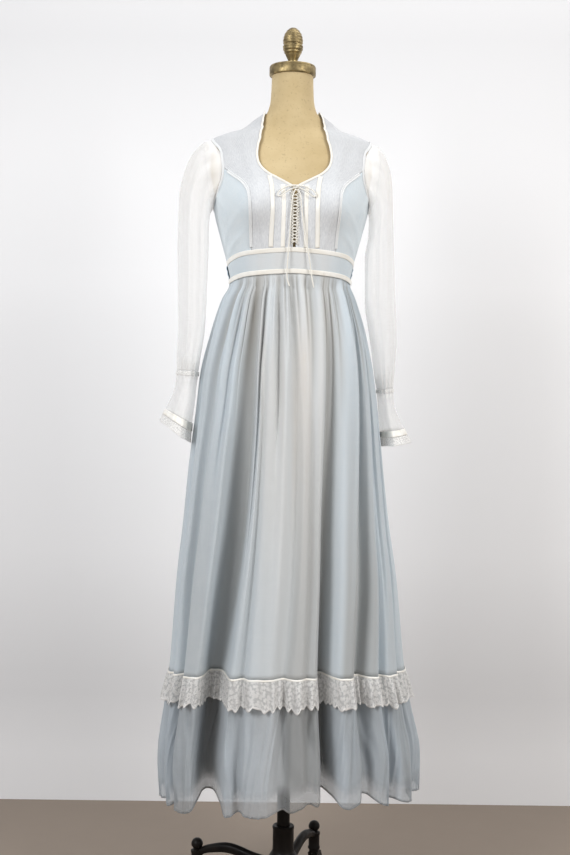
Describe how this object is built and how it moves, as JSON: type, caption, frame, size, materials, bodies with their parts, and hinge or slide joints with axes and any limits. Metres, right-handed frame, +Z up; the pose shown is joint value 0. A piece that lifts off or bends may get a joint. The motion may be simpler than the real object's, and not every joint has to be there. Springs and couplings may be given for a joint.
{
  "type": "maxi dress on a dress form",
  "caption": "Prairie maxi dress with laced bodice, sheer sleeves and lace flounce, on a limbless dress form with a castor stand.",
  "frame": {"origin": "on the floor, on the axis of the stand's pole", "axes": "+Z up, the front of the dress faces -Y, and the wearer's left is +X"},
  "size_m": [0.5473, 0.4322, 1.8404],
  "materials": {
    "voile": "matt plain-weave cotton voile, pale grey-blue",
    "dimity": "matt white cotton with a fine lengthwise crinkle",
    "sheer": "sheer off-white cotton voile",
    "satin": "cream satin ribbon with a soft sheen",
    "lace": "off-white cotton lace with an even net ground",
    "cordage": "off-white rayon cord, slightly glossy",
    "linen": "aged tan linen over papier-mache, matt",
    "brass": "aged brushed brass",
    "enamel": "black enamel, semi-gloss",
    "rubber": "dark hard rubber"
  },
  "bodies": {
    "stand": {"stand_base": "enamel"},
    "mast": {"pole": "enamel"},
    "figure": {"side_panel_right": "voile", "side_panel_left": "voile", "back_panel_right": "voile", "back_panel_left": "voile", "sash_band_right": "voile", "sash_band_left": "voile", "sash_tail_right": "voile", "sash_tail_left": "voile", "midriff_front": "voile", "midriff_back": "voile", "sash_knot": "voile", "skirt_front": "voile", "skirt_back": "voile", "flounce_front": "voile", "flounce_back": "voile", "centre_panel_right": "dimity", "centre_panel_left": "dimity", "sleeve_right": "sheer", "sleeve_left": "sheer", "cuff_right": "sheer", "cuff_left": "sheer", "armhole_trim_right": "sheer", "armhole_trim_left": "sheer", "inner_ribbon_right": "satin", "inner_ribbon_left": "satin", "outer_ribbon_right": "satin", "outer_ribbon_left": "satin", "cuff_ribbon_right": "satin", "cuff_ribbon_left": "satin", "waist_ribbon_upper": "satin", "waist_ribbon_lower": "satin", "lace_ribbon_front": "satin", "lace_ribbon_back": "satin", "princess_trim_right": "lace", "princess_trim_left": "lace", "cuff_lace_right": "lace", "cuff_lace_left": "lace", "neck_trim": "lace", "lace_ruffle_front": "lace", "lace_ruffle_back": "lace", "loop_tape_right": "cordage", "loop_tape_left": "cordage", "front_lacing": "cordage", "lace_bow": "cordage", "lace_tail_right": "cordage", "lace_tail_left": "cordage", "form_body": "linen", "neck_cap": "brass", "finial": "brass"},
    "fork_1": {"castor_fork_1": "enamel"},
    "wheel_1": {"castor_wheel_1": "rubber"},
    "fork_2": {"castor_fork_2": "enamel"},
    "wheel_2": {"castor_wheel_2": "rubber"},
    "fork_3": {"castor_fork_3": "enamel"},
    "wheel_3": {"castor_wheel_3": "rubber"},
    "fork_4": {"castor_fork_4": "enamel"},
    "wheel_4": {"castor_wheel_4": "rubber"}
  },
  "joints": [
    {"name": "mast_height", "type": "slide", "parent": "stand", "child": "mast", "axis": [0, 0, 1], "range_m": [0, 0.05]},
    {"name": "figure_turn", "type": "hinge", "parent": "mast", "child": "figure", "pos_m": [0, 0, 0.905], "axis": [0, 0, 1], "continuous": true},
    {"name": "castor_swivel_1", "type": "hinge", "parent": "stand", "child": "fork_1", "pos_m": [0.08326, 0.17854, 0.07], "axis": [0, 0, 1], "continuous": true},
    {"name": "wheel_roll_1", "type": "hinge", "parent": "fork_1", "child": "wheel_1", "pos_m": [0.09044, 0.19395, 0.02256], "axis": [-0.9063, 0.4226, 0], "continuous": true},
    {"name": "castor_swivel_2", "type": "hinge", "parent": "stand", "child": "fork_2", "pos_m": [-0.17854, 0.08326, 0.07], "axis": [0, 0, 1], "continuous": true},
    {"name": "wheel_roll_2", "type": "hinge", "parent": "fork_2", "child": "wheel_2", "pos_m": [-0.19395, 0.09044, 0.02256], "axis": [-0.4226, -0.9063, 0], "continuous": true},
    {"name": "castor_swivel_3", "type": "hinge", "parent": "stand", "child": "fork_3", "pos_m": [-0.08326, -0.17854, 0.07], "axis": [0, 0, 1], "continuous": true},
    {"name": "wheel_roll_3", "type": "hinge", "parent": "fork_3", "child": "wheel_3", "pos_m": [-0.09044, -0.19395, 0.02256], "axis": [0.9063, -0.4226, 0], "continuous": true},
    {"name": "castor_swivel_4", "type": "hinge", "parent": "stand", "child": "fork_4", "pos_m": [0.17854, -0.08326, 0.07], "axis": [0, 0, 1], "continuous": true},
    {"name": "wheel_roll_4", "type": "hinge", "parent": "fork_4", "child": "wheel_4", "pos_m": [0.19395, -0.09044, 0.02256], "axis": [0.4226, 0.9063, 0], "continuous": true}
  ]
}
